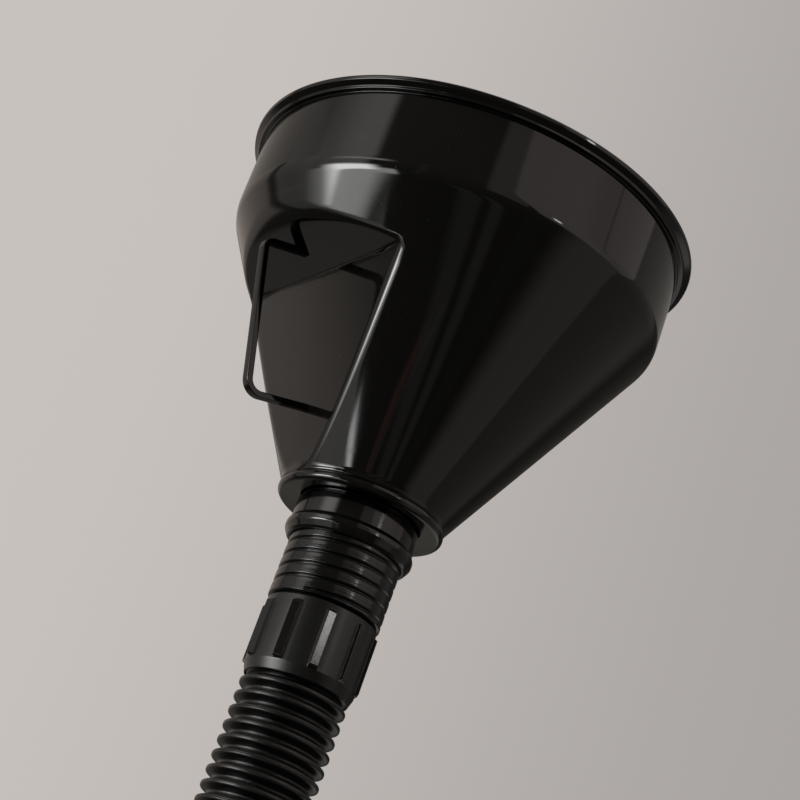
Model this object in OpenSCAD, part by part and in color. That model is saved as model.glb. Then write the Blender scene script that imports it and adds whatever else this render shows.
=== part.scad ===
// Funnel with a flexible screw-in spout.
// The axis is Z, the mouth faces +Z, and the origin is the centre of the mouth.
// The carrying loop and its flat recess are on the -X side.

/* [Bowl] */
// Outer diameter of the lip
rim_d = 146; // [142:1:150]
// Height of the lip with the small step under it
lip_h = 3.5; // [3.2:0.1:4]
// Outer diameter of the band under the lip
band_d = 138.6; // [137.4:0.2:139]
// Depth of the shoulder below the mouth
shoulder_z = 28.6; // [26:0.2:30]
// Half angle of the cone
cone_angle = 29.4; // [29:0.1:29.8]
// Wall thickness of the bowl
wall = 1.8; // [1.4:0.1:2]
// Rounding radius of the shoulder
shoulder_round = 6; // [3:0.5:8]
// Depth of the flange's top face below the mouth
flange_z = 106.4; // [105.8:0.1:106.8]
// Outer diameter of the flange
flange_d = 52; // [51.6:0.2:53]
// Thickness of the flange
flange_t = 3.4; // [3.2:0.1:3.6]

/* [Recess] */
// Distance of the crease from the axis
crease_x = 40.8; // [40:0.2:42]
// Depth of the crease below the mouth
crease_z = 46.5; // [45:0.5:48]
// Lean of the steep face from the vertical
steep_lean = 14.7; // [14.5:0.1:15]
// Rise of the ledge face from the horizontal
ledge_rise = 14; // [12:1:18]

/* [Carrying loop] */
// Width of the strip, across the loop
strip_w = 3; // [2:0.5:6]
// Thickness of the strip
strip_t = 2; // [1.5:0.1:2.5]
// Inner rounding radius of the loop's upper corner
upper_corner = 1.5; // [1:0.5:3]
// Inner rounding radius of the loop's lower corner
lower_corner = 3.5; // [1:0.5:5]

/* [Screw coupling] */
// Depth of the sleeve's shoulder below the mouth
sleeve_z = 110.4; // [110.2:0.1:111]
// Depth of the sleeve's lower end below the mouth
sleeve_end_z = 121.8; // [121:0.1:122.5]
// Outer diameter of the sleeve
sleeve_d = 38; // [37.6:0.1:38.8]
// Diameter over the bead at the sleeve's mouth
bead_d = 39.6; // [39.2:0.1:41]
// Diameter over the crests of the male thread
thread_d = 34.5; // [34.2:0.1:34.6]
// Depth of the thread
thread_depth = 0.75; // [0.5:0.05:1]
// Pitch of the thread
thread_pitch = 4; // [3.5:0.25:4.5]
// Depth of the collar's top below the mouth
collar_z = 140.8; // [140:0.1:141]
// Length of the collar
collar_l = 24.6; // [24:0.1:25]
// Diameter of the collar between its ribs
collar_d = 33.6; // [33.2:0.1:34]
// Diameter over the ribs
rib_d = 36.4; // [35:0.1:37]
// Width of one rib
rib_w = 3; // [2:0.1:4]
// Number of ribs
rib_count = 10; // [6:1:12]
// Direction of the first rib
rib_phase = 33; // [0:0.5:45]

/* [Hose] */
// Diameter over the rings
ring_d = 32.2; // [31.6:0.1:32.6]
// Diameter at the bottom of the grooves
groove_d = 27; // [26.6:0.1:27.4]
// Bore of the hose
hose_bore = 24.8; // [24:0.1:25]
// Pitch of the rings
ring_pitch = 4.5; // [4.4:0.05:4.6]
// Depth of the first ring below the mouth
first_ring_z = 168.1; // [168:0.1:168.6]
// Largest bend at one hinge
bend = 12; // [6:1:12]

/* [Outlet] */
// Length of the end cuff below its ring
cuff_l = 16; // [12:1:20]
// Outer diameter of the outlet tube
outlet_d = 23; // [21:0.5:24]
// Bore of the outlet tube
outlet_bore = 20; // [18:0.5:20]
// Length of the outlet tube below its collar
outlet_l = 28; // [20:1:40]

/* [Strainer] */
// Outer diameter of the strainer's ring
strainer_d = 43.6; // [42:0.2:44]
// Height of the strainer's ring
strainer_h = 2.4; // [2:0.1:3]

/* [Hidden] */
segments = 12;
function segment_name(i) = str("hose_segment_", i < 10 ? "0" : "", i);
$fn = 96;
far = 120;

gloss_black = [0.05, 0.05, 0.048];
satin_black = [0.12, 0.12, 0.12];
rubber_black = [0.02, 0.02, 0.02];
hose_black = [0.07, 0.07, 0.07];
brass = [0.72, 0.55, 0.25];

rim_r = rim_d / 2;
band_r = band_d / 2;
step_r = band_r + 1.6;
slope = tan(cone_angle);
wall_x = wall / cos(cone_angle);
inner_r = band_r - wall;
floor_z = flange_z - 2;
throat_r = 18;
ledge_r = 15;
ledge_z = 112.9;
washer_t = 1.5;
thread_r = thread_d / 2;
thread_clearance = 0.1;
fitting_bore_r = 14.3;
stem_bore_r = 12.9;
stem_r = 14.4;
cuff_in_r = 14.48;
cuff_out_r = 15.4;
collar_bore_r = 15.46;
cuff_bead_r = 15.95;
bead_top_z = -150;
rings = 3;
segment_l = rings * ring_pitch;
first_hinge_z = first_ring_z + ring_pitch / 2;
last_hinge_z = first_hinge_z + segments * segment_l;
cuff_end_z = last_hinge_z + ring_pitch + cuff_l;
hinge_gap = 0.2;

// Radius of the bowl's outside at a depth on the cone
function cone_r(z) = band_r - slope * (z - shoulder_z);

// Points of an arc in the section plane
function arc(c, r, a0, a1, n) = [for (i = [0:n]) let (a = a0 + (a1 - a0) * i / n) c + r * [cos(a), sin(a)]];

// Points on the steep face and on the ledge face, moved inward by d
function steep_x(z, d) = crease_x - d / cos(steep_lean) - tan(steep_lean) * (z - crease_z);
function ledge_z_at(x, d) = -crease_z + d / cos(ledge_rise) + tan(ledge_rise) * (x - crease_x);
function crease(d) =
    let (m = tan(steep_lean), k = tan(ledge_rise),
         x = (crease_x * (1 - m * k) - d / cos(steep_lean) + m * d / cos(ledge_rise)) / (1 - m * k))
    [x, ledge_z_at(x, d)];

// The space in front of the two recess faces, moved inward by d
module recess_space(d, bottom_z) {
    rotate([90, 0, 180])
        linear_extrude(height = 2 * far, center = true)
            polygon([crease(d), [steep_x(bottom_z, d), -bottom_z], [far, -bottom_z],
                     [far, ledge_z_at(far, d)]]);
}

// Outside of the bowl, filled
module bowl_outside() {
    half = cone_angle / 2;
    tangent = shoulder_round * tan(half);
    rotate_extrude()
        polygon(concat(
            [[0, 0], [rim_r - 0.7, 0]],
            arc([rim_r - 0.7, -0.7], 0.7, 90, 0, 5),
            [[rim_r - 0.3, -1.6], [step_r, 0.9 - lip_h], [step_r, -lip_h], [band_r, -lip_h]],
            arc([band_r - shoulder_round, tangent - shoulder_z], shoulder_round, 0, -cone_angle, 6),
            [[cone_r(flange_z), -flange_z]],
            arc([flange_d / 2 - 1.6, -flange_z - flange_t / 2], 1.6, 75, -75, 8),
            [[throat_r + 1, -flange_z - flange_t + 0.4], [0, -flange_z - flange_t + 0.4]]));
}

// Inside of the bowl
module bowl_inside() {
    corner_z = shoulder_z + (band_r - wall_x - inner_r) / slope;
    rotate_extrude()
        polygon([[0, 1], [inner_r, 1], [inner_r, -corner_z],
                 [cone_r(floor_z) - wall_x, -floor_z], [0, -floor_z]]);
}

module funnel_bowl() {
    color(gloss_black)
        difference() {
            bowl_outside();
            recess_space(0, flange_z - 0.4);
            difference() {
                bowl_inside();
                recess_space(wall, flange_z);
            }
            translate([0, 0, -flange_z - flange_t - 1]) cylinder(r = throat_r, h = flange_t + 4);
        }
}

// Corners of the loop's centre line: distance from the axis, and height
loop_points = [[43.9, -42.9], [62.2, -48], [49.5, -93.3], [25.4, -86.6]];

// Direction from one point to another
function heading(a, b) = atan2(b[1] - a[1], b[0] - a[0]);

// One side of a corner rounded to the radius r, turning clockwise, d to the left of the line
function turn(a, p, b, r, d) =
    let (h = heading(a, p), sweep = (h - heading(p, b) + 720) % 360, middle = h - sweep / 2 - 90)
    arc(p + r / cos(sweep / 2) * [cos(middle), sin(middle)], r + d, h + 90, h + 90 - sweep, 8);

// One side of the loop, d to the left of its centre line
function loop_side(d) =
    let (p = loop_points, first = heading(p[0], p[1]) + 90, last = heading(p[2], p[3]) + 90)
    concat([p[0] + d * [cos(first), sin(first)]],
           turn(p[0], p[1], p[2], upper_corner + strip_t / 2, d),
           turn(p[1], p[2], p[3], lower_corner + strip_t / 2, d),
           [p[3] + d * [cos(last), sin(last)]]);

function reversed(list) = [for (i = [len(list) - 1:-1:0]) list[i]];

module carry_loop() {
    color(gloss_black)
        intersection() {
            rotate([90, 0, 180])
                linear_extrude(height = strip_w, center = true)
                    polygon(concat(loop_side(strip_t / 2), reversed(loop_side(-strip_t / 2))));
            recess_space(0, flange_z - 0.4);
        }
}

module socket_sleeve() {
    bead_z = sleeve_end_z - 3;
    color(gloss_black)
        rotate_extrude()
            polygon(concat(
                [[ledge_r, -floor_z], [throat_r, -floor_z], [throat_r, -sleeve_z],
                 [sleeve_d / 2, -sleeve_z], [sleeve_d / 2, -bead_z + 2.2]],
                arc([bead_d / 2 - 2, -bead_z], 2, 60, -60, 8),
                [[thread_r + 0.9, -sleeve_end_z], [thread_r + thread_clearance, -sleeve_end_z],
                 [thread_r + thread_clearance, -ledge_z + washer_t], [ledge_r, -ledge_z + washer_t]]));
}

module sealing_washer() {
    color(rubber_black)
        translate([0, 0, -ledge_z])
            difference() {
                cylinder(r = thread_r - 0.1, h = washer_t);
                translate([0, 0, -1]) cylinder(r = ledge_r, h = washer_t + 2);
            }
}

module strainer_ring() {
    color(satin_black)
        translate([0, 0, -floor_z])
            difference() {
                cylinder(r = strainer_d / 2, h = strainer_h);
                translate([0, 0, -1]) cylinder(r = throat_r - 0.8, h = strainer_h + 2);
                translate([0, 0, 1]) cylinder(r = throat_r + 1, h = strainer_h);
            }
}

module strainer_gauze() {
    color(brass)
        translate([0, 0, 1 - floor_z]) cylinder(r = throat_r + 0.95, h = 0.5);
}

// Male thread drawn as rings of the right pitch and depth
module threaded_fitting() {
    top = -ledge_z;
    root_r = thread_r - thread_depth;
    turns = round((collar_z - ledge_z) / thread_pitch);
    color(gloss_black)
        rotate_extrude()
            polygon(concat(
                [[fitting_bore_r, top], [root_r, top]],
                [for (i = [0:turns - 1], p = [[root_r, 0.8], [thread_r, 1.4], [thread_r, 3.7], [root_r, 4]])
                    [p[0], top - i * thread_pitch - p[1] * thread_pitch / 4]],
                [[root_r, -collar_z - 0.5], [collar_bore_r, -collar_z - 0.5],
                 [collar_bore_r, -collar_z - 2.5], [stem_r, -collar_z - 2.5],
                 [stem_r, -collar_z - collar_l + 5], [stem_bore_r, -collar_z - collar_l + 5],
                 [stem_bore_r, -collar_z - 1.5], [fitting_bore_r, -collar_z - 0.1]]));
}

module grip_collar() {
    r = collar_d / 2;
    bottom = -collar_z - collar_l;
    rib_top = -collar_z - 3.1;
    rib_bottom = -collar_z - 21.4;
    color(satin_black) {
        difference() {
            union() {
                rotate_extrude()
                    polygon(concat(
                        [[collar_bore_r, -collar_z - 0.5], [r - 1, -collar_z - 0.5],
                         [r, -collar_z - 1.6]],
                        arc([r - 1.4, bottom + 2], 2, 0, -70, 6),
                        [[collar_bore_r - 0.4, bottom]]));
                for (i = [0:rib_count - 1])
                    rotate([0, 0, rib_phase + i * 360 / rib_count])
                        translate([collar_bore_r, -rib_w / 2, rib_bottom])
                            cube([rib_d / 2 - collar_bore_r, rib_w, rib_top - rib_bottom]);
            }
            translate([0, 0, bottom - 1]) cylinder(r = collar_bore_r, h = collar_l + 2);
            translate([0, 0, bead_top_z - 2.2]) cylinder(r = cuff_bead_r + 0.1, h = 2.4);
        }
    }
}

// Points down the outside of a number of rings, from a top depth
function ring_points(top_z, count) =
    let (r = ring_d / 2, g = groove_d / 2, round = 1)
    [for (i = [0:count - 1]) let (z = top_z + (i + 0.5) * ring_pitch)
        each concat([[g, round + 0.5 - z]], arc([r - round, -z], round, 70, -70, 6), [[g, -round - 0.5 - z]])];

// How far an end face stays from its hinge, at a radius
function hinge_room(r) = r * tan(bend / 2) + hinge_gap;

// The wedge of room that a hinge needs, below it when side is 1 and above it when side is -1
module hinge_space(z, side) {
    inner = hose_bore / 2 - 2;
    outer = ring_d / 2 + 2;
    rotate_extrude()
        polygon([[inner, side * 5 - z], [outer, side * 5 - z],
                 [outer, -side * hinge_room(outer) - z], [inner, -side * hinge_room(inner) - z]]);
}

// Upper end of the hose: a smooth cuff with a bead that turns in the collar's groove, and one ring
module hose_cuff() {
    top = -collar_z - 3;
    join_z = first_ring_z - ring_pitch / 2;
    color(hose_black)
        difference() {
            rotate_extrude()
                polygon(concat(
                    [[cuff_in_r, top], [cuff_out_r, top], [cuff_out_r, bead_top_z + 0.1],
                     [cuff_bead_r, bead_top_z - 0.1], [cuff_bead_r, bead_top_z - 1.9],
                     [cuff_out_r, bead_top_z - 2.1], [cuff_out_r, -join_z + 0.4]],
                    ring_points(join_z, 1),
                    [[hose_bore / 2, -first_hinge_z], [hose_bore / 2, -join_z + 1.6],
                     [cuff_in_r, -join_z + 1.6]]));
            hinge_space(first_hinge_z, -1);
        }
}

module hose_segment(i) {
    top_z = first_hinge_z + (i - 1) * segment_l;
    bottom_z = top_z + segment_l;
    color(hose_black)
        difference() {
            rotate_extrude()
                polygon(concat([[hose_bore / 2, -top_z]], ring_points(top_z, rings),
                               [[hose_bore / 2, -bottom_z]]));
            hinge_space(top_z, 1);
            hinge_space(bottom_z, -1);
        }
}

// Lower end of the hose: one ring and a smooth cuff
module hose_end_cuff() {
    join_z = last_hinge_z + ring_pitch;
    outside_r = 14.6;
    color(hose_black)
        difference() {
            rotate_extrude()
                polygon(concat(
                    [[hose_bore / 2, -last_hinge_z]],
                    ring_points(last_hinge_z, 1),
                    [[groove_d / 2, -join_z], [outside_r, -join_z - 1.5],
                     [outside_r, -cuff_end_z + 0.5], [outside_r - 0.5, -cuff_end_z],
                     [hose_bore / 2, -cuff_end_z]]));
            hinge_space(last_hinge_z, 1);
        }
}

module outlet_nozzle() {
    collar_t = 2.4;
    end = -cuff_end_z - collar_t - outlet_l;
    color(gloss_black)
        rotate_extrude()
            polygon([[outlet_bore / 2, -cuff_end_z + cuff_l - 2], [hose_bore / 2, -cuff_end_z + cuff_l - 2],
                     [hose_bore / 2, -cuff_end_z], [14.2, -cuff_end_z],
                     [14.2, -cuff_end_z - collar_t + 0.6], [13.6, -cuff_end_z - collar_t],
                     [outlet_d / 2, -cuff_end_z - collar_t], [outlet_d / 2, end + 1],
                     [outlet_d / 2 - 0.5, end], [outlet_bore / 2, end]]);
}

funnel_bowl();
carry_loop();
socket_sleeve();
sealing_washer();
strainer_ring();
strainer_gauze();
threaded_fitting();
grip_collar();
hose_cuff();
for (i = [1:segments])
    hose_segment(i);
hose_end_cuff();
outlet_nozzle();
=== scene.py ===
import math

import bpy
import numpy as np
from mathutils import Matrix, Vector


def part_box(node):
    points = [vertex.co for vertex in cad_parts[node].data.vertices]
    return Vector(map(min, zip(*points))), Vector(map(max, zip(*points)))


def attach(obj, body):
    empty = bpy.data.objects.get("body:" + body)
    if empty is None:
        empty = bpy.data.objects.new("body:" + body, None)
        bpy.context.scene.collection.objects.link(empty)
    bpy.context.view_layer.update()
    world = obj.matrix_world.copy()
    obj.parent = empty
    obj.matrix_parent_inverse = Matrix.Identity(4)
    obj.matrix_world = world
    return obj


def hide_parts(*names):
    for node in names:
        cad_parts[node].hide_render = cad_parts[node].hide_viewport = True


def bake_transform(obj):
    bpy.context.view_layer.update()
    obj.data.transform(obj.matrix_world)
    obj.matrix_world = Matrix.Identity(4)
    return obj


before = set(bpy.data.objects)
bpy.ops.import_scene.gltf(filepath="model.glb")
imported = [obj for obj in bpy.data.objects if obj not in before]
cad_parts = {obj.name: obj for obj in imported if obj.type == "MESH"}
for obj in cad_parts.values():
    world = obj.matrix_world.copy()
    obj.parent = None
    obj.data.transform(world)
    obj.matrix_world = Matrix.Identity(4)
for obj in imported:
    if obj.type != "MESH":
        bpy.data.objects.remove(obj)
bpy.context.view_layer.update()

# Looks of the funnel with a flexible spout. Shapes are worked out in millimetres in the CAD's frame:
# the axis is Z, the mouth is at Z = 0 and faces +Z, and the carrying loop is on the -X side.
MM = 0.001


def in_mm(node):
    """Lowest and highest corner of a node at rest."""
    low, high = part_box(node)
    return np.array(low) / MM, np.array(high) / MM


# ---------------------------------------------------------------------------------------------
# Sizes in millimetres, from the frame where its boxes give them
# ---------------------------------------------------------------------------------------------
bowl_high = in_mm("funnel_bowl")[1]
washer_high = in_mm("sealing_washer")[1]
sleeve_low, sleeve_high = in_mm("socket_sleeve")
fitting_low, fitting_high = in_mm("threaded_fitting")
collar_low, collar_high = in_mm("grip_collar")
nozzle_low, nozzle_high = in_mm("outlet_nozzle")
strainer_low, strainer_high = in_mm("strainer_ring")
gauze_low, gauze_high = in_mm("strainer_gauze")

# Lip, with a small step under it
RIM_R = bowl_high[0]
LIP_H = 3.5
LIP_T = 1.6
STEP_R = 70.9
STEP_H = 0.9

# Band under the lip, shoulder and cone. The shoulder's height is where band and cone would meet.
BAND_R = 69.3
WALL = 1.8
SHOULDER_Z = -28.6
SHOULDER_ROUND = 9.0
CONE_ANGLE = math.radians(29.4)
CONE_END = -105.6

# Flange round the throat, its underside a little hollow, and the bowl's inner floor
FLANGE_R = 26.0
FLANGE_Z = -106.4
FLANGE_BOTTOM = -109.8
FLANGE_ROUND = 1.65
FLANGE_HOLLOW = 0.4
FLOOR_Z = strainer_low[2]
THROAT_R = 18.05

# Recess: a steep face and a ledge over it, which meet at the crease. The edge round them, the ridge,
# is rounded more in the middle of the ledge than at its corners. The roundings change over the fades.
CREASE_X = 40.8
CREASE_Z = -46.5
STEEP_LEAN = math.radians(14.7)
LEDGE_RISE = math.radians(14)
RIDGE_ROUND = 5.0
CREASE_ROUND = 0.5
CREASE_ROUND_CORNER = 3.0
LEDGE_ROUND_MIDDLE = 14.0
LEDGE_ROUND_CORNER = 2.5
CORNER_Y = 38.0
RIDGE_FADE = 7.0
CORNER_FADE = 14.0

# Strip of the carrying loop
STRIP_W = 3.0
STRIP_T = 2.0
STRIP_ROUND = 0.35

# Male thread, over its crests
THREAD_R = 17.25
THREAD_DEPTH = 0.75
THREAD_PITCH = 4.0

# Hose: three rings to a segment, with a hinge at each end of it
RING_R = 16.1
GROOVE_R = 13.5
HOSE_WALL = 1.1
RING_PITCH = 4.5
SEGMENTS = 12
SEGMENT_L = 3 * RING_PITCH
FIRST_HINGE_Z = -170.35
END_CUFF_L = 16.0

X_AXIS = np.array([1.0, 0.0, 0.0])
Z_AXIS = np.array([0.0, 0.0, 1.0])


# ---------------------------------------------------------------------------------------------
# Mesh helpers
# ---------------------------------------------------------------------------------------------
def grid_mesh(name, points, wrap_rows=True, capped=False):
    """A mesh over a grid of points in millimetres, (rows, columns, 3), closed round its columns.
    Rows run anticlockwise round the section, so that the faces look outward. The first and last rows
    are joined, capped with one face each, or left open."""
    rows, columns = points.shape[:2]
    index = np.arange(rows * columns).reshape(rows, columns)
    along = np.roll(index, -1, axis=1)
    up = np.roll(index, -1, axis=0)
    both = np.roll(up, -1, axis=1)
    faces = np.stack([index, along, both, up], axis=-1)
    if not wrap_rows:
        faces = faces[:-1]
    faces = faces.reshape(-1, 4).tolist()
    if capped:
        faces += [index[0, ::-1].tolist(), index[-1].tolist()]
    mesh = bpy.data.meshes.new(name)
    mesh.from_pydata((points.reshape(-1, 3) * MM).tolist(), [], faces)
    mesh.shade_smooth()
    next_column = np.roll(points, -1, axis=1) - np.roll(points, 1, axis=1)
    next_row = np.roll(points, -1, axis=0) - np.roll(points, 1, axis=0)
    if not wrap_rows:
        next_row[0] = points[1] - points[0]
        next_row[-1] = points[-1] - points[-2]
    normals = np.cross(next_column, next_row)
    normals /= np.linalg.norm(normals, axis=-1, keepdims=True)
    mesh.normals_split_custom_set_from_vertices(normals.reshape(-1, 3).tolist())
    return mesh


def add_piece(name, mesh, material):
    piece = bpy.data.objects.new(name, mesh)
    bpy.context.scene.collection.objects.link(piece)
    mesh.materials.clear()
    mesh.materials.append(material)
    return piece


def rounded(corners, closed=True, steps=7):
    """Points along a section whose corners (r, z, radius) are rounded. An open one keeps its ends."""
    count = len(corners)
    path = []
    for i, (r, z, radius) in enumerate(corners):
        here = np.array([r, z], float)
        if radius == 0 or (not closed and i in (0, count - 1)):
            path.append(here)
            continue
        before = np.array(corners[i - 1][:2]) - here
        after = np.array(corners[(i + 1) % count][:2]) - here
        before /= np.linalg.norm(before)
        after /= np.linalg.norm(after)
        half = math.acos(float(np.clip(before @ after, -1, 1))) / 2
        centre = here + (before + after) / np.linalg.norm(before + after) * radius / math.sin(half)
        start = here + before * radius / math.tan(half) - centre
        end = here + after * radius / math.tan(half) - centre
        turn = math.pi - 2 * half
        for k in range(steps + 1):
            share = k / steps
            mix = (math.sin((1 - share) * turn) * start + math.sin(share * turn) * end) / math.sin(turn)
            path.append(centre + mix)
    return np.array(path)


def refined(path, spacing, closed=True):
    """The same section with extra points wherever two are further apart than the spacing."""
    result = []
    ends = np.roll(path, -1, axis=0) if closed else path[1:]
    for a, b in zip(path, ends):
        parts = max(1, math.ceil(np.linalg.norm(b - a) / spacing))
        result += [a + (b - a) * k / parts for k in range(parts)]
    if not closed:
        result.append(path[-1])
    return np.array(result)


def full_turn(columns):
    return np.arange(columns) * math.tau / columns


def revolve(section, angles):
    """Grid points of a section (r, z) turned about the axis."""
    r, z = section[:, :1], section[:, 1:]
    return np.stack([r * np.cos(angles), r * np.sin(angles), z + 0 * angles], axis=-1)


def smoothstep(x):
    x = np.clip(x, 0, 1)
    return x * x * (3 - 2 * x)


def blend_of(first, second, share):
    """The first value where the share is 0, and the second where it is 1."""
    return first + (second - first) * share


# ---------------------------------------------------------------------------------------------
# Materials
# ---------------------------------------------------------------------------------------------
class Nodes:
    """A node material being built, with short calls for its nodes and links."""

    def __init__(self, name):
        self.material = bpy.data.materials.new(name)
        self.material.use_nodes = True
        self.tree = self.material.node_tree
        self.shader = self.tree.nodes["Principled BSDF"]
        self.place = self.add("ShaderNodeTexCoord").outputs["Object"]

    def add(self, kind, **settings):
        node = self.tree.nodes.new(kind)
        for key, value in settings.items():
            setattr(node, key, value)
        return node

    def link(self, source, target):
        self.tree.links.new(source, target)

    def stretched(self, scale, turn):
        """The place of a point, scaled along each axis and turned."""
        node = self.add("ShaderNodeMapping")
        node.inputs["Scale"].default_value = scale
        node.inputs["Rotation"].default_value = turn
        self.link(self.place, node.inputs["Vector"])
        return node.outputs["Vector"]

    def radius(self):
        """Distance from the Z axis."""
        flat = self.add("ShaderNodeVectorMath", operation="MULTIPLY")
        self.link(self.place, flat.inputs[0])
        flat.inputs[1].default_value = (1, 1, 0)
        length = self.add("ShaderNodeVectorMath", operation="LENGTH")
        self.link(flat.outputs["Vector"], length.inputs[0])
        return length.outputs["Value"]

    def noise(self, scale, detail=2.0, place=None):
        node = self.add("ShaderNodeTexNoise")
        node.inputs["Scale"].default_value = scale
        node.inputs["Detail"].default_value = detail
        self.link(place or self.place, node.inputs["Vector"])
        return node.outputs["Fac"]

    def specks(self, scale, size):
        """1 inside small round spots, in some of the texture's cells, and 0 elsewhere."""
        node = self.add("ShaderNodeTexVoronoi")
        node.inputs["Scale"].default_value = scale
        self.link(self.place, node.inputs["Vector"])
        spot = self.ramp(node.outputs["Distance"], size, size * 0.6, 0, 1)
        keep = self.ramp(node.outputs["Color"], 0.55, 0.6, 0, 1)
        return self.math("MULTIPLY", spot, keep)

    def ramp(self, value, low, high, out_low, out_high):
        node = self.add("ShaderNodeMapRange")
        for key, number in zip(("From Min", "From Max", "To Min", "To Max"), (low, high, out_low, out_high)):
            node.inputs[key].default_value = number
        self.link(value, node.inputs["Value"])
        return node.outputs["Result"]

    def math(self, operation, a, b):
        node = self.add("ShaderNodeMath", operation=operation)
        for socket, value in zip(node.inputs, (a, b)):
            if isinstance(value, (int, float)):
                socket.default_value = value
            else:
                self.link(value, socket)
        return node.outputs["Value"]

    def mix(self, factor, a, b):
        """Colour a where the factor is 0 and colour b where it is 1."""
        node = self.add("ShaderNodeMix", data_type="RGBA")
        self.link(factor, node.inputs["Factor"])
        for socket, value in ((node.inputs["A"], a), (node.inputs["B"], b)):
            if isinstance(value, tuple):
                socket.default_value = (*value, 1)
            else:
                self.link(value, socket)
        return node.outputs["Result"]

    def bump(self, height, depth, normal=None):
        """A bump of the height's range times the depth, which is in metres."""
        node = self.add("ShaderNodeBump")
        node.inputs["Strength"].default_value = 1.0
        node.inputs["Distance"].default_value = depth
        self.link(height, node.inputs["Height"])
        if normal is not None:
            self.link(normal, node.inputs["Normal"])
        return node.outputs["Normal"]


def moulded_plastic(name, colour, roughness, spread, grain, grain_depth, dust=1.0, polished=None):
    """Black moulded plastic: slow waves of the skin, fine grain, dust specks, hair scratches and a
    handled look where the roughness drifts. Polished is (radius, roughness) for what stands proud."""
    dust_colour, wave_depth, edge = (0.16, 0.15, 0.14), 0.00002, 0.0001
    n = Nodes(name)
    patches = n.noise(18, 3)
    large_specks, small_specks = n.specks(430, 0.055), n.specks(1500, 0.11)
    hairs = n.ramp(n.noise(110, 1, n.stretched((1, 1, 0.05), (0.5, 0.35, 0.2))), 0.71, 0.73, 0, 1)
    scuffs = n.ramp(n.noise(130, 1, n.stretched((1, 0.05, 1), (0.9, 0.2, 1.1))), 0.72, 0.74, 0, 1)
    scratches = n.math("ADD", hairs, scuffs)
    marks = n.math("ADD", n.math("MULTIPLY", large_specks, 0.75 * dust),
                   n.math("MULTIPLY", small_specks, 0.4 * dust))
    marks = n.math("ADD", marks, n.math("MULTIPLY", scratches, 0.03 * dust))
    darker = tuple(c * 0.72 for c in colour)
    lighter = tuple(c * 1.25 for c in colour)
    base = n.mix(n.ramp(patches, 0.35, 0.65, 0, 1), darker, lighter)
    n.link(n.mix(marks, base, dust_colour), n.shader.inputs["Base Color"])
    rough = n.ramp(patches, 0.3, 0.7, roughness - spread, roughness + spread)
    rough = n.math("ADD", rough, n.math("MULTIPLY", marks, 0.35))
    rough = n.math("ADD", rough, n.math("MULTIPLY", scratches, 0.02))
    if polished:
        proud = n.ramp(n.radius(), polished[0] - edge, polished[0], 0, 1)
        rough = n.math("MULTIPLY", rough, n.ramp(proud, 0, 1, 1, polished[1] / roughness))
    n.link(rough, n.shader.inputs["Roughness"])
    waves = n.bump(n.noise(26, 1), wave_depth)
    n.link(n.bump(n.noise(grain, 2), grain_depth, waves), n.shader.inputs["Normal"])
    n.shader.inputs["IOR"].default_value = 1.5
    return n.material


def brass_wire(name):
    """Fine brass wire, bright in some places and tarnished brown in others."""
    bright, brown = (0.62, 0.43, 0.16), (0.33, 0.21, 0.08)
    n = Nodes(name)
    tarnish = n.noise(240, 4)
    n.link(n.mix(n.ramp(tarnish, 0.4, 0.62, 0, 1), bright, brown), n.shader.inputs["Base Color"])
    n.link(n.ramp(tarnish, 0.35, 0.65, 0.24, 0.48), n.shader.inputs["Roughness"])
    n.link(n.bump(n.noise(2500, 2), 0.00001), n.shader.inputs["Normal"])
    n.shader.inputs["Metallic"].default_value = 1.0
    return n.material


gloss_black = moulded_plastic("gloss_black", (0.0042, 0.004, 0.0036), 0.065, 0.02, 700, 0.0000012)
sleeve_black = moulded_plastic("sleeve_black", (0.0045, 0.0043, 0.004), 0.12, 0.03, 900, 0.000003, 0.6)
thread_black = moulded_plastic("thread_black", (0.0055, 0.0053, 0.005), 0.19, 0.03, 900, 0.000003, 0.6)
satin_black = moulded_plastic("satin_black", (0.009, 0.0088, 0.0085), 0.33, 0.04, 2600, 0.000012, 0.5,
                              polished=(0.01735, 0.05))
hose_black = moulded_plastic("hose_black", (0.0055, 0.0053, 0.005), 0.35, 0.04, 1500, 0.000008, 0.6)
rubber_black = moulded_plastic("rubber_black", (0.016, 0.016, 0.016), 0.62, 0.06, 1200, 0.000015, 0.4)
gauze_brass = brass_wire("gauze_brass")


# ---------------------------------------------------------------------------------------------
# Bowl: band, shoulder, cone and recess as one solid whose edges are rounded
# ---------------------------------------------------------------------------------------------
def meet(solid_a, solid_b, radius):
    """Where two solids overlap, its edge rounded. A solid is (signed distance, outward direction)."""
    (a, out_a), (b, out_b) = solid_a, solid_b
    cosine = np.clip(np.sum(out_a * out_b, axis=-1), -0.999, 0.9995)
    sine = np.sqrt(1 - cosine**2)
    u, v = a + radius, b + radius
    from_edge = np.sqrt(np.maximum(u * u + v * v - 2 * u * v * cosine, 1e-12))
    at_edge = (u > v * cosine) & (v > u * cosine)
    distance = np.where(at_edge, from_edge / sine, np.maximum(u, v)) - radius
    turning = (u - v * cosine)[..., None] * out_a + (v - u * cosine)[..., None] * out_b
    turning /= (sine * from_edge)[..., None]
    flat = np.where((a > b)[..., None], out_a, out_b)
    return distance, np.where(at_edge[..., None], turning, flat)


def fuse(solid_a, solid_b, radius):
    """Two solids together, the inner corner between them rounded."""
    distance, outward = meet((-solid_a[0], -solid_a[1]), (-solid_b[0], -solid_b[1]), radius)
    return -distance, -outward


def cone_r(z):
    return BAND_R + math.tan(CONE_ANGLE) * (z - SHOULDER_Z)


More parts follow.
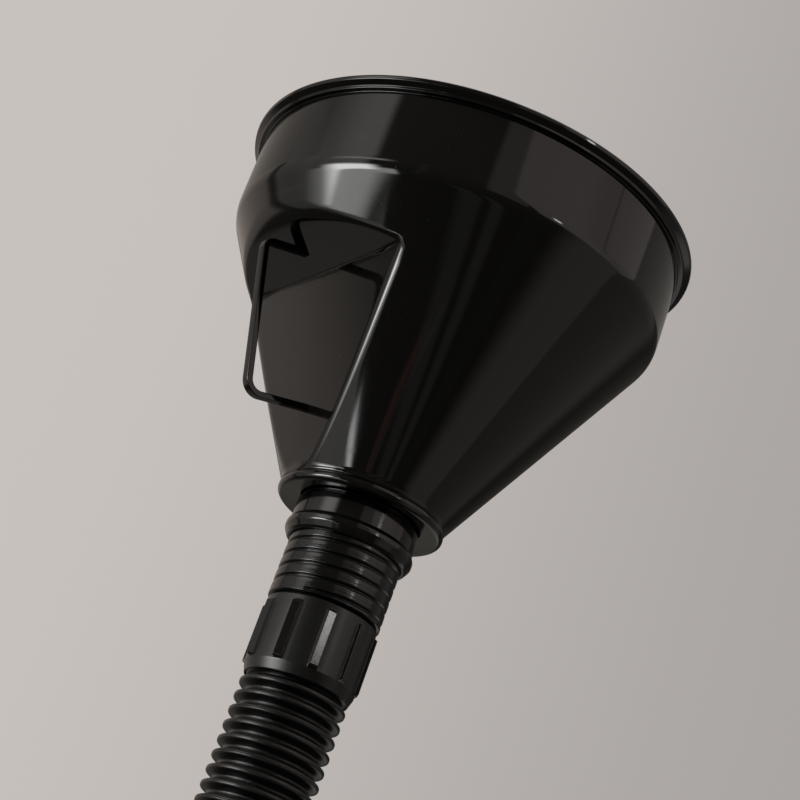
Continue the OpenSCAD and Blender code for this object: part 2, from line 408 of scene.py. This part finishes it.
def bowl_solid(p):
    """Signed distance from the bowl's outside, with its outward direction."""
    r = np.hypot(p[..., 0], p[..., 1])
    radial = np.stack([p[..., 0] / r, p[..., 1] / r, 0 * r], axis=-1)
    z = p[..., 2]
    cone_out = radial * math.cos(CONE_ANGLE) - Z_AXIS * math.sin(CONE_ANGLE)
    side = meet((r - BAND_R, radial), ((r - cone_r(z)) * math.cos(CONE_ANGLE), cone_out), SHOULDER_ROUND)
    out_x, above = -p[..., 0] - CREASE_X, z - CREASE_Z
    lean, rise = STEEP_LEAN, LEDGE_RISE
    steep_out = -X_AXIS * math.cos(lean) - Z_AXIS * math.sin(lean)
    ledge_out = -X_AXIS * math.sin(rise) - Z_AXIS * math.cos(rise)
    steep = (math.cos(lean) * out_x - math.sin(lean) * above, np.broadcast_to(steep_out, p.shape))
    ledge = (math.sin(rise) * out_x - math.cos(rise) * above, np.broadcast_to(ledge_out, p.shape))
    across = np.abs(p[..., 1])
    ledge_round = blend_of(LEDGE_ROUND_MIDDLE, LEDGE_ROUND_CORNER, smoothstep(across / CORNER_Y))
    edge_round = blend_of(ledge_round, RIDGE_ROUND, smoothstep((CREASE_Z + 1 - z) / RIDGE_FADE))
    at_corner = smoothstep((across - CORNER_Y + CORNER_FADE) / CORNER_FADE)
    crease_round = blend_of(CREASE_ROUND, CREASE_ROUND_CORNER, at_corner)
    return meet(side, fuse(steep, ledge, crease_round), edge_round)


def bowl_skin(angles, dips, depth):
    """Grid points where rays from the mouth's centre meet the bowl's skin, that deep in its wall."""
    rays = np.stack([np.cos(dips)[:, None] * np.cos(angles), np.cos(dips)[:, None] * np.sin(angles),
                     -np.sin(dips)[:, None] + 0 * angles], axis=-1)
    nearest, furthest, halvings = 15.0, 125.0, 26
    low, high = np.full(rays.shape[:2], nearest), np.full(rays.shape[:2], furthest)
    for _ in range(halvings):
        middle = (low + high) / 2
        inside = bowl_solid(rays * middle[..., None])[0] < -depth
        low, high = np.where(inside, middle, low), np.where(inside, high, middle)
    return rays * low[..., None]


def curve_between(start, corner, end, steps):
    """Rows of a curve from one row to another that bends at the corner row, without both ends."""
    shares = [k / steps for k in range(1, steps)]
    return np.array([(1 - t)**2 * start + 2 * t * (1 - t) * corner + t * t * end for t in shares])


def make_bowl():
    """The bowl as one closed grid: up its outside, over the lip, down its inside, across the floor,
    through the throat and round the flange back to the cone."""
    recess_half, recess_columns, plain_columns = math.radians(57), 190, 164
    angles = np.concatenate([
        np.linspace(math.pi - recess_half, math.pi + recess_half, recess_columns, endpoint=False),
        np.linspace(math.pi + recess_half, 3 * math.pi - recess_half, plain_columns, endpoint=False)])
    inner_r = BAND_R - WALL
    outer_dips = np.arange(math.atan2(LIP_H + 0.4, BAND_R), math.atan2(-CONE_END, cone_r(CONE_END)),
                           math.radians(0.33))
    inner_dips = np.arange(math.atan2(1.2, inner_r), math.radians(76.6), math.radians(0.65))
    outer = bowl_skin(angles, outer_dips[::-1], 0)
    inner = bowl_skin(angles, inner_dips, WALL)
    lip = rounded([(BAND_R, -LIP_H - 0.3, 0), (BAND_R, -LIP_H, 0.2), (STEP_R, -LIP_H, 0.3),
                   (STEP_R, STEP_H - LIP_H, 0.25), (RIM_R - 0.3, -LIP_T, 0.4), (RIM_R, 0, 0.75),
                   (inner_r, 0, 0.6), (inner_r, -1.1, 0)], closed=False)
    low_inner = inner[-1]
    inward = -np.stack([np.cos(angles), np.sin(angles), 0 * angles], axis=-1)
    corner = low_inner + inward * 0.4
    corner[:, 2] = FLOOR_Z
    floor_edge = corner + inward * 0.9
    hollow_z = FLANGE_BOTTOM + FLANGE_HOLLOW
    floor = rounded([(22.0, FLOOR_Z, 0), (THROAT_R, FLOOR_Z, 0.3), (THROAT_R, hollow_z, 0.2),
                     (THROAT_R + 1, hollow_z, 0.3), (23.6, FLANGE_BOTTOM + 0.14, 0)], closed=False)
    edge_centre = np.array([FLANGE_R - FLANGE_ROUND, (FLANGE_Z + FLANGE_BOTTOM) / 2])
    turns = np.radians(np.arange(-84, 58, 6.5))
    edge = edge_centre + FLANGE_ROUND * np.stack([np.cos(turns), np.sin(turns)], axis=1)
    flange = revolve(edge, angles)
    foot = flange[-1].copy()
    foot[:, :2] = outer[0][:, :2]
    points = np.concatenate([
        outer, revolve(lip, angles), inner, curve_between(low_inner, corner, floor_edge, 5),
        revolve(floor, angles), flange, curve_between(flange[-1], foot, outer[0], 6)])
    return grid_mesh("funnel_bowl_skin", points)


def make_loop():
    """The carrying loop: a flat strip with rounded edges along a line with two rounded corners."""
    route = rounded([(48.0, -44.05, 0), (62.2, -48.0, 2.5), (49.5, -93.3, 4.5), (27.6, -87.2, 0)],
                    closed=False, steps=14)
    route = refined(route, 2.0, closed=False)
    ahead = np.gradient(route, axis=0)
    ahead /= np.linalg.norm(ahead, axis=1, keepdims=True)
    across = np.stack([ahead[:, 1], -ahead[:, 0]], axis=1)
    half_t, half_w = STRIP_T / 2, STRIP_W / 2
    corners = ((-half_t, half_w), (half_t, half_w), (half_t, -half_w), (-half_t, -half_w))
    section = rounded([(*corner, STRIP_ROUND) for corner in corners], steps=4)
    rows = []
    for place, side in zip(route, across):
        offset = place + side * section[:, :1]
        rows.append(np.stack([-offset[:, 0], section[:, 1], offset[:, 1]], axis=1))
    return grid_mesh("carry_loop_strip", np.array(rows), wrap_rows=False, capped=True)


# ---------------------------------------------------------------------------------------------
# Screw coupling
# ---------------------------------------------------------------------------------------------
def make_sleeve():
    """The socket's sleeve, with a bead at its mouth and a ledge inside for the washer."""
    top, low = sleeve_high[2], sleeve_low[2]
    shoulder, ledge, bead = -110.1, washer_high[2], low + 3.0
    bore, ledge_bore = THREAD_R + 0.12, 15.0
    neck_r, sleeve_r, bead_r = 17.95, 19.0, 19.8
    section = rounded([
        (bore, low, 0.2), (bore + 0.8, low, 0.2), (18.75, low + 0.55, 0.3), (bead_r, bead - 0.7, 1.6),
        (bead_r, bead + 0.9, 1.4), (sleeve_r, bead + 2.2, 0.35), (sleeve_r, shoulder, 0.45),
        (neck_r, shoulder, 0.3), (neck_r, top, 0.3), (ledge_bore, top, 0.3), (ledge_bore, ledge, 0.2),
        (bore, ledge, 0.2)])
    return grid_mesh("socket_sleeve_skin", revolve(section, full_turn(192)))


def thread_height(turn):
    """Height of the thread above its root at a share of one turn: a broad crest with a fine line in it."""
    turn = turn % 1.0
    crest = smoothstep(turn / 0.2) * smoothstep((1 - turn) / 0.2)
    return crest * (1 - 0.09 * (2 * turn - 1)**2 - 0.05 * np.exp(-((turn - 0.6) / 0.03)**2))


def make_fitting():
    """The fitting's tube. Its right-handed thread fades in at the top, and its groove stops square."""
    top, low, seat = fitting_high[2], fitting_low[2], -141.3
    root = THREAD_R - THREAD_DEPTH
    bore, stem_bore, stem_r, shelf_r = 14.3, 12.9, 14.4, 15.4
    stop_z, stop_angle = seat + 1.0, math.radians(-143.5)
    section = rounded([
        (stem_bore, low, 0.2), (stem_r, low, 0.2), (stem_r, seat - 2.0, 0.2), (shelf_r, seat - 2.0, 0.2),
        (shelf_r, seat, 0.2), (root, seat, 0.1), (root, top, 0.5), (bore, top, 0.3),
        (bore, seat + 0.3, 0.3), (stem_bore, seat - 1.1, 0.2)])
    section = refined(section, 0.16)
    angles = full_turn(192)
    points = revolve(section, angles)
    r, z = section[:, :1], section[:, 1:]
    outside = (r > root - 0.02) & (z < top - 0.5)
    # Turns of the thread below its top end, and turns past the place where its groove stops
    run = (top - 1.6 - z) / THREAD_PITCH
    turn = (stop_z - z) / THREAD_PITCH + (angles - stop_angle) % math.tau / math.tau
    height = np.where(turn > 0.5, 1.0, thread_height(turn)) * smoothstep(run / 0.35)
    grown = 1 + np.where(outside, THREAD_DEPTH * height * smoothstep((z - seat) / 0.3), 0) / r
    points[..., :2] *= grown[..., None]
    return grid_mesh("threaded_fitting_skin", points)


def make_collar():
    """The collar: a turned body with ribs whose flat tops slope a little, rising through small fillets."""
    top, low = collar_high[2], collar_low[2]
    body_r, bore, end_r = 16.8, 15.46, 15.8
    rib_half, high_edge_r, low_edge_r, root_angle = 1.35, 18.05, 17.45, 0.15
    rib_top, rib_low = -143.9, -162.2
    ribs, first_rib = 10, math.radians(33)
    # One rib seen along the axis, then the gap to the next, repeated round the collar
    foot = (body_r * math.cos(root_angle), body_r * math.sin(root_angle))
    rib = refined(rounded([
        (foot[0], -foot[1], 0), (body_r - 0.07, -rib_half - 0.1, 0.35), (high_edge_r, -rib_half, 0.22),
        (low_edge_r, rib_half, 0.18), (body_r - 0.07, rib_half + 0.1, 0.3), (*foot, 0)],
        closed=False, steps=5), 0.5, closed=False)
    rib_angles = np.arctan2(rib[:, 1], rib[:, 0])
    rib_radii = np.hypot(rib[:, 0], rib[:, 1])
    pitch = math.tau / ribs
    gap = np.linspace(rib_angles[-1], pitch + rib_angles[0], 12)[1:-1]
    one_angles = np.concatenate([rib_angles, gap])
    one_radii = np.concatenate([rib_radii, np.full(len(gap), body_r)])
    angles = np.concatenate([first_rib + i * pitch + one_angles for i in range(ribs)])
    raised = np.tile(one_radii - body_r, ribs)
    section = refined(rounded([
        (bore, low, 0.3), (end_r, low, 0.3), (body_r, low + 3.1, 2.2), (body_r, top - 1.0, 0.3),
        (body_r - 0.9, top, 0.3), (bore, top, 0.2)]), 0.35)
    points = revolve(section, angles)
    r, z = section[:, :1], section[:, 1:]
    outside = r > body_r - 0.6
    lift = smoothstep((rib_top - z) / 0.5) * smoothstep((z - rib_low) / 0.8)
    grown = 1 + np.where(outside, raised * lift, 0) / r
    points[..., :2] *= grown[..., None]
    return grid_mesh("grip_collar_skin", points)


# ---------------------------------------------------------------------------------------------
# Hose: a corrugated tube in stretches, each running across one hinge
# ---------------------------------------------------------------------------------------------
def wave_r(z):
    """Radius of the hose's outside: rounded rings, and round-bottomed grooves a little narrower."""
    crest = 0.5 - 0.5 * np.cos((z - FIRST_HINGE_Z) / RING_PITCH * math.tau)
    return GROOVE_R + (RING_R - GROOVE_R) * smoothstep(crest)**0.85


def hose_stretch(name, top, low, top_corners=(), low_corners=()):
    """Thin wall between two heights, following the rings inside and out. Extra corners close its ends."""
    z = np.linspace(low, top, max(2, round((top - low) / 0.22)) + 1)
    outside = np.stack([wave_r(z), z], axis=1)
    inside = np.stack([wave_r(z) - HOSE_WALL, z], axis=1)[::-1]
    parts = [outside, inside]
    if top_corners:
        parts.insert(1, rounded(top_corners, closed=False))
    if low_corners:
        parts.append(rounded(low_corners, closed=False))
    return grid_mesh(name, revolve(np.concatenate(parts), full_turn(128)))


def cuff_corners(ring_z):
    """From the outside above the first ring, over the cuff and its bead in the collar, to the inside."""
    cuff_r, cuff_bore, cuff_top = 15.38, 14.5, -144.0
    bead_r, bead_top, bead_low = 15.93, -150.0, -152.1
    return [(GROOVE_R, ring_z + 0.1, 0), (cuff_bore + 0.1, ring_z + 0.35, 0.3), (cuff_r, ring_z + 0.9, 0.3),
            (cuff_r, bead_low, 0.1), (bead_r, bead_low + 0.1, 0.1), (bead_r, bead_top - 0.1, 0.1),
            (cuff_r, bead_top, 0.1), (cuff_r, cuff_top, 0.1), (cuff_bore, cuff_top, 0.1),
            (cuff_bore, ring_z + 0.6, 0.2), (GROOVE_R - HOSE_WALL, ring_z + 0.1, 0)]


def end_cuff_corners(ring_z):
    """From the inside below the last ring, round the end cuff, to the outside."""
    cuff_r, cuff_bore, cuff_low = 14.6, 12.42, ring_z - END_CUFF_L
    return [(GROOVE_R - HOSE_WALL, ring_z - 0.1, 0), (cuff_bore, cuff_low, 0.2), (cuff_r, cuff_low, 0.5),
            (cuff_r, ring_z - 1.4, 0.4), (GROOVE_R, ring_z - 0.1, 0)]


def make_hose():
    """Stretch k runs across hinge k, from the middle of one segment to the middle of the next. The first
    stretch ends in the cuff and the last in the end cuff."""
    half = SEGMENT_L / 2
    for k in range(SEGMENTS + 1):
        name = f"hose_stretch_{k:02d}"
        hinge = FIRST_HINGE_Z - k * SEGMENT_L
        bend_top, bend_low = hinge + half, hinge - half
        if k == 0:
            ring_top, bend_top = hinge + RING_PITCH, hinge + 4.6
            mesh = hose_stretch(name, ring_top, bend_low, top_corners=cuff_corners(ring_top))
        elif k == SEGMENTS:
            ring_low = hinge - RING_PITCH
            mesh = hose_stretch(name, bend_top, ring_low, low_corners=end_cuff_corners(ring_low))
        else:
            mesh = hose_stretch(name, bend_top, bend_low)
        piece = add_piece(name, mesh, hose_black)
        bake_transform(piece)
        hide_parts("hose_cuff" if k == 0 else f"hose_segment_{k:02d}")
        if k == SEGMENTS:
            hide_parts("hose_end_cuff")


def make_nozzle():
    """The outlet: a plain tube under a collar that meets the end cuff, with a spigot inside the cuff."""
    top, low = nozzle_high[2], nozzle_low[2]
    collar_top = top - 14.0
    bore, tube_r, collar_r, spigot_r = 10.0, 11.5, 14.2, 12.38
    section = rounded([
        (bore, low, 0.5), (tube_r, low, 0.7), (tube_r, collar_top - 2.4, 0.5),
        (collar_r - 0.6, collar_top - 2.4, 0.3), (collar_r, collar_top - 1.8, 0.3),
        (collar_r, collar_top, 0.2), (spigot_r, collar_top, 0.1), (spigot_r, top, 0.3), (bore, top, 0.3)])
    return grid_mesh("outlet_nozzle_skin", revolve(section, full_turn(128)))


# ---------------------------------------------------------------------------------------------
# Strainer
# ---------------------------------------------------------------------------------------------
def make_strainer_ring():
    """A ring with an L-shaped section, whose ledge carries the gauze."""
    low, top, r = strainer_low[2], strainer_high[2], strainer_high[0]
    bore, rim_bore, ledge = 17.25, 19.05, low + 1.0
    section = rounded([
        (bore, low, 0.25), (r, low, 0.35), (r, top, 0.6), (rim_bore, top, 0.4), (rim_bore, ledge, 0.1),
        (bore, ledge, 0.25)])
    return grid_mesh("strainer_ring_skin", revolve(section, full_turn(128)))


def make_gauze():
    """Woven wires: each dips under and over the ones it crosses."""
    pitch, wire_r, sides = 1.15, 0.16, 6
    radius = gauze_high[0] - 0.15
    middle = (gauze_low[2] + gauze_high[2]) / 2
    swing = (gauze_high[2] - gauze_low[2]) / 2 - wire_r
    count = int(radius / pitch)
    vertices, faces = [], []
    for direction in (0, 1):
        for i in range(-count, count + 1):
            offset = i * pitch
            half = math.sqrt(radius**2 - offset**2)
            along = np.arange(-half, half, pitch / 5)
            sign = 1 if (i + direction) % 2 else -1
            height = middle + sign * swing * np.cos(along * math.pi / pitch)
            start = len(vertices)
            for a, h in zip(along, height):
                for angle in full_turn(sides):
                    side = offset + wire_r * math.cos(angle)
                    up = h + wire_r * math.sin(angle)
                    vertices.append((a, side, up) if direction == 0 else (-side, a, up))
            last = start + (len(along) - 1) * sides
            for row in range(start, last, sides):
                for k in range(sides):
                    a, b = row + k, row + (k + 1) % sides
                    faces.append((a, b, b + sides, a + sides))
            faces.append(tuple(start + k for k in reversed(range(sides))))
            faces.append(tuple(last + k for k in range(sides)))
    mesh = bpy.data.meshes.new("strainer_gauze_wires")
    mesh.from_pydata([tuple(c * MM for c in v) for v in vertices], [], faces)
    mesh.shade_smooth()
    return mesh


def rigid(name, mesh, material, body, node):
    """A stiff piece that rides on a body and stands for a CAD node."""
    piece = add_piece(name, mesh, material)
    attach(piece, body)
    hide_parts(node)


rigid("funnel_bowl_skin", make_bowl(), gloss_black, "bowl", "funnel_bowl")
rigid("carry_loop_strip", make_loop(), gloss_black, "bowl", "carry_loop")
rigid("socket_sleeve_skin", make_sleeve(), sleeve_black, "bowl", "socket_sleeve")
rigid("threaded_fitting_skin", make_fitting(), thread_black, "coupling", "threaded_fitting")
rigid("grip_collar_skin", make_collar(), satin_black, "coupling", "grip_collar")
make_hose()
rigid("outlet_nozzle_skin", make_nozzle(), thread_black, "outlet", "outlet_nozzle")
rigid("strainer_ring_skin", make_strainer_ring(), satin_black, "strainer",
      "strainer_ring")
rigid("strainer_gauze_wires", make_gauze(), gauze_brass, "strainer", "strainer_gauze")
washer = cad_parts["sealing_washer"]
washer.data.materials.clear()
washer.data.materials.append(rubber_black)


# ---------------------------------------------------------------------------------------------
# Camera, at the photograph's angle: from below the mouth, beside the carrying loop
# ---------------------------------------------------------------------------------------------
# Its place in metres, the direction it looks in, and its right-hand side, which gives its tilt
CAMERA_PLACE = (-0.2698, -0.4955, -0.3100)
CAMERA_AHEAD = (0.4386, 0.8076, 0.393)
CAMERA_RIGHT = (0.7594, -0.5671, 0.318)

camera_data = bpy.data.cameras.new("camera")
camera_data.lens = 90
camera_data.sensor_width = 36
camera = bpy.data.objects.new("camera", camera_data)
bpy.context.scene.collection.objects.link(camera)
bpy.context.scene.camera = camera
right = Vector(CAMERA_RIGHT)
ahead = Vector(CAMERA_AHEAD).normalized()
right = (right - ahead * right.dot(ahead)).normalized()
up = right.cross(ahead)
turned = Matrix((right, up, -ahead)).transposed()
camera.matrix_world = Matrix.Translation(CAMERA_PLACE) @ turned.to_4x4()


# ---------------------------------------------------------------------------------------------
# Stage and light. Directions are given as azimuth (from +X towards +Y) and elevation, in degrees.
# ---------------------------------------------------------------------------------------------
CENTRE = np.array([0.0, 0.0, -0.08])


def toward(azimuth, elevation):
    """Unit vectors in a direction."""
    a, e = np.radians(azimuth), np.radians(elevation)
    return np.stack([np.cos(e) * np.cos(a), np.cos(e) * np.sin(a), np.sin(e) + 0 * a], axis=-1)


def glowing(name, attribute):
    """A surface that shines with the colours of a mesh attribute."""
    n = Nodes(name)
    colour = n.add("ShaderNodeAttribute", attribute_name=attribute).outputs["Color"]
    n.link(colour, n.shader.inputs["Emission Color"])
    n.shader.inputs["Emission Strength"].default_value = 1.0
    n.shader.inputs["Base Color"].default_value = (0, 0, 0, 1)
    n.shader.inputs["Specular IOR Level"].default_value = 0.0
    return n.material


def shell(name, radius, columns, elevations, glow):
    """A glowing dome round the object, whose colour at a direction comes from the glow function."""
    azimuths = np.degrees(full_turn(columns))
    azimuth, elevation = np.meshgrid(azimuths, elevations)
    mesh = grid_mesh(name, (CENTRE + radius * toward(azimuth, elevation)) / MM, wrap_rows=False)
    colours = np.ones((azimuth.size, 4), np.float32)
    colours[:, :3] = glow(azimuth, elevation).reshape(-1, 3)
    attribute = mesh.attributes.new("glow", "FLOAT_COLOR", "POINT")
    attribute.data.foreach_set("color", colours.ravel())
    piece = add_piece(name, mesh, glowing(name + "_light", "glow"))
    return piece


def window(value, low, high, soft_low, soft_high):
    """1 between low and high, falling smoothly to 0 outside over the soft widths."""
    return smoothstep((value - low) / soft_low + 1) * smoothstep((high - value) / soft_high + 1)


# What the gloss reflects: name, azimuths, elevations, soft widths past each of them, colour, and how
# far the azimuths shift for each degree above the lower elevation
PANELS = [
    ("table_side", (84, 122), (-16, 26), (16, 6, 8, 6), (0.47, 0.41, 0.37), 0),
    ("table_far", (80, 140), (30, 58), (16, 10, 6, 20), (0.31, 0.28, 0.25), 0),
    ("table_near", (45, 95), (-48, -20), (12, 12, 8, 8), (0.20, 0.19, 0.17), 0),
    ("grey_wall", (134, 152), (-24, 26), (5, 8, 6, 8), (0.37, 0.36, 0.35), 0),
    ("side", (-37, 0), (-38, 24), (2, 26, 8, 6), (0.19, 0.18, 0.165), 0),
    ("behind", (18, 52), (-10, 24), (14, 8, 8, 6), (0.05, 0.045, 0.04), 0),
    ("behind_high", (-20, 45), (28, 60), (4, 15, 4, 15), (0.21, 0.195, 0.18), 0),
    ("low_board", (-61, -38.5), (-42, 4), (18, 1, 10, 4), (0.34, 0.32, 0.295), 0),
    ("low_gap", (-91, -85), (-42, -20), (3, 5, 6, 4), (0.08, 0.077, 0.07), 0),
    ("low_strip_1", (-111, -104), (-40, -22), (6, 2, 4, 6), (0.16, 0.155, 0.14), -1.0),
    ("low_strip_2", (-98, -93), (-40, -22), (1.5, 2, 4, 6), (0.17, 0.165, 0.15), -0.9),
    ("high_edge", (-114, -95), (9, 58), (3, 1, 4, 10), (0.33, 0.315, 0.285), 0),
    ("dim_board", (-86, -35), (9, 58), (1, 1, 4, 10), (0.52, 0.46, 0.44), 0.8),
    ("high_board", (-88.5, -57), (9, 58), (1, 20, 4, 10), (0.70, 0.61, 0.585), -0.6),
    ("board_joint", (-46, -45.4), (24, 58), (0.3, 0.3, 4, 10), (0.25, 0.21, 0.2), 0),
    ("key_glow", (182, 183), (-26, 34), (45, 6, 22, 20), (1.05, 1.0, 0.97), 0),
    ("low_glow", (178, 196), (-40, -25), (26, 1.5, 6, 2), (0.8, 0.78, 0.75), 0),
    ("key_lower", (172, 199), (-21, -12), (24, 3, 2.2, 6), (4.0, 3.95, 3.9), 0),
    ("key", (172, 185), (-15.8, -5.5), (13, 9, 1.2, 8.5), (14.5, 14.4, 14.3), 0),
    ("key_upper", (179, 190), (17.5, 20.5), (18, 11, 2, 3), (2.4, 2.34, 2.3), 0),
    ("low_window", (205.3, 209.5), (-37.5, -33), (1, 0.8, 2, 1), (6.5, 6.5, 6.5), -1.9),
    ("brown_strip", (-136.5, -133), (-40, -33), (0.7, 0.7, 3, 1.5), (0.28, 0.15, 0.12), 1.9),
    ("thin_strip", (-131, -130), (-40, -32), (0.5, 0.5, 3, 2), (0.26, 0.26, 0.24), 1.9),
    ("lamp", (-80.5, -76.5), (13.8, 17.4), (0.6, 0.6, 0.5, 0.5), (10.0, 9.9, 9.8), 0),
    ("rear_low", (14, 50), (-48, -22), (6, 6, 8, 5), (0.5, 0.48, 0.46), 0),
    ("top", (-180, 540), (68, 90), (1, 1, 12, 1), (1.5, 1.48, 1.45), 0),
]
ROOM_LOW, ROOM_HIGH = (0.07, 0.066, 0.058), (0.095, 0.089, 0.079)


def studio_glow(azimuth, elevation):
    """A dim room, with the panels laid over it one after another."""
    height = smoothstep((elevation + 35) / 50)
    colour = blend_of(np.array(ROOM_LOW), np.array(ROOM_HIGH), height[..., None])
    for _, (left, right), (bottom, top), softness, shade, lean in PANELS:
        shift = lean * np.clip(elevation - bottom, 0, 40)
        turned = (azimuth - shift - left + 90) % 360 + left - 90
        share = window(turned, left, right, softness[0], softness[1])
        share = share * window(elevation, bottom, top, softness[2], softness[3])
        colour += (np.array(shade) - colour) * share[..., None]
    return colour


def backdrop_painted_light(azimuth, elevation):
    """Pale glowing paper with painted light on it: brighter on the carrying loop's side and dimmer away from
    it, as the light falls.
    """
    light, dim = np.array([0.575, 0.54, 0.515]), np.array([0.40, 0.375, 0.36])
    # Painted light: the share of the brighter tone, falling off away from the carrying loop's side
    share = smoothstep((azimuth % 360 - 44) / 30) * smoothstep((320 - azimuth % 360) / 110)
    return blend_of(dim, light, share[..., None])


def floor_paper():
    """Pale matt paper that glows a little, so that it stays pale away from the lights."""
    n = Nodes("floor_paper")
    n.link(n.mix(n.noise(3), (0.42, 0.41, 0.40), (0.45, 0.44, 0.43)), n.shader.inputs["Base Color"])
    n.link(n.bump(n.noise(900), 0.00002), n.shader.inputs["Normal"])
    n.shader.inputs["Roughness"].default_value = 0.9
    n.shader.inputs["Emission Color"].default_value = (0.33, 0.312, 0.297, 1)
    n.shader.inputs["Emission Strength"].default_value = 1.0
    return n.material


def make_stage():
    """Floor, backdrop and studio dome. Only the camera sees the floor and the backdrop, and only the
    gloss sees the dome."""
    floor_z, reach = -0.41, 5.6
    corners = [(-reach, -reach), (reach, -reach), (reach, reach), (-reach, reach)]
    mesh = bpy.data.meshes.new("floor")
    mesh.from_pydata([(x, y, floor_z) for x, y in corners], [], [(0, 1, 2, 3)])
    floor = add_piece("floor", mesh, floor_paper())
    backdrop = shell("backdrop", 5.5, 72, np.linspace(-20, 90, 45), backdrop_painted_light)
    studio = shell("studio", 1.7, 360, np.linspace(-90, 90, 181), studio_glow)
    for surface in (floor, backdrop):
        surface.visible_glossy = False
        surface.visible_diffuse = False
    studio.visible_camera = False
    studio.visible_diffuse = False
    studio.visible_shadow = False


def softbox(name, azimuth, elevation, distance, size, watts):
    """A square light for the shadows. What the gloss shows of it is in the studio's panels."""
    light = bpy.data.lights.new(name, "AREA")
    light.size = size
    light.energy = watts
    lamp = bpy.data.objects.new(name, light)
    bpy.context.scene.collection.objects.link(lamp)
    direction = Vector(toward(azimuth, elevation))
    lamp.location = Vector(CENTRE) + direction * distance
    lamp.rotation_mode = "QUATERNION"
    lamp.rotation_quaternion = (-direction).to_track_quat("-Z", "Y")
    lamp.visible_camera = False
    lamp.visible_glossy = False


make_stage()
softbox("key_light", 172, 25, 1.2, 0.6, 14)
softbox("top_light", -60, 70, 1.3, 0.9, 10)
bpy.context.scene.view_settings.view_transform = "Standard"

bpy.context.view_layer.update()
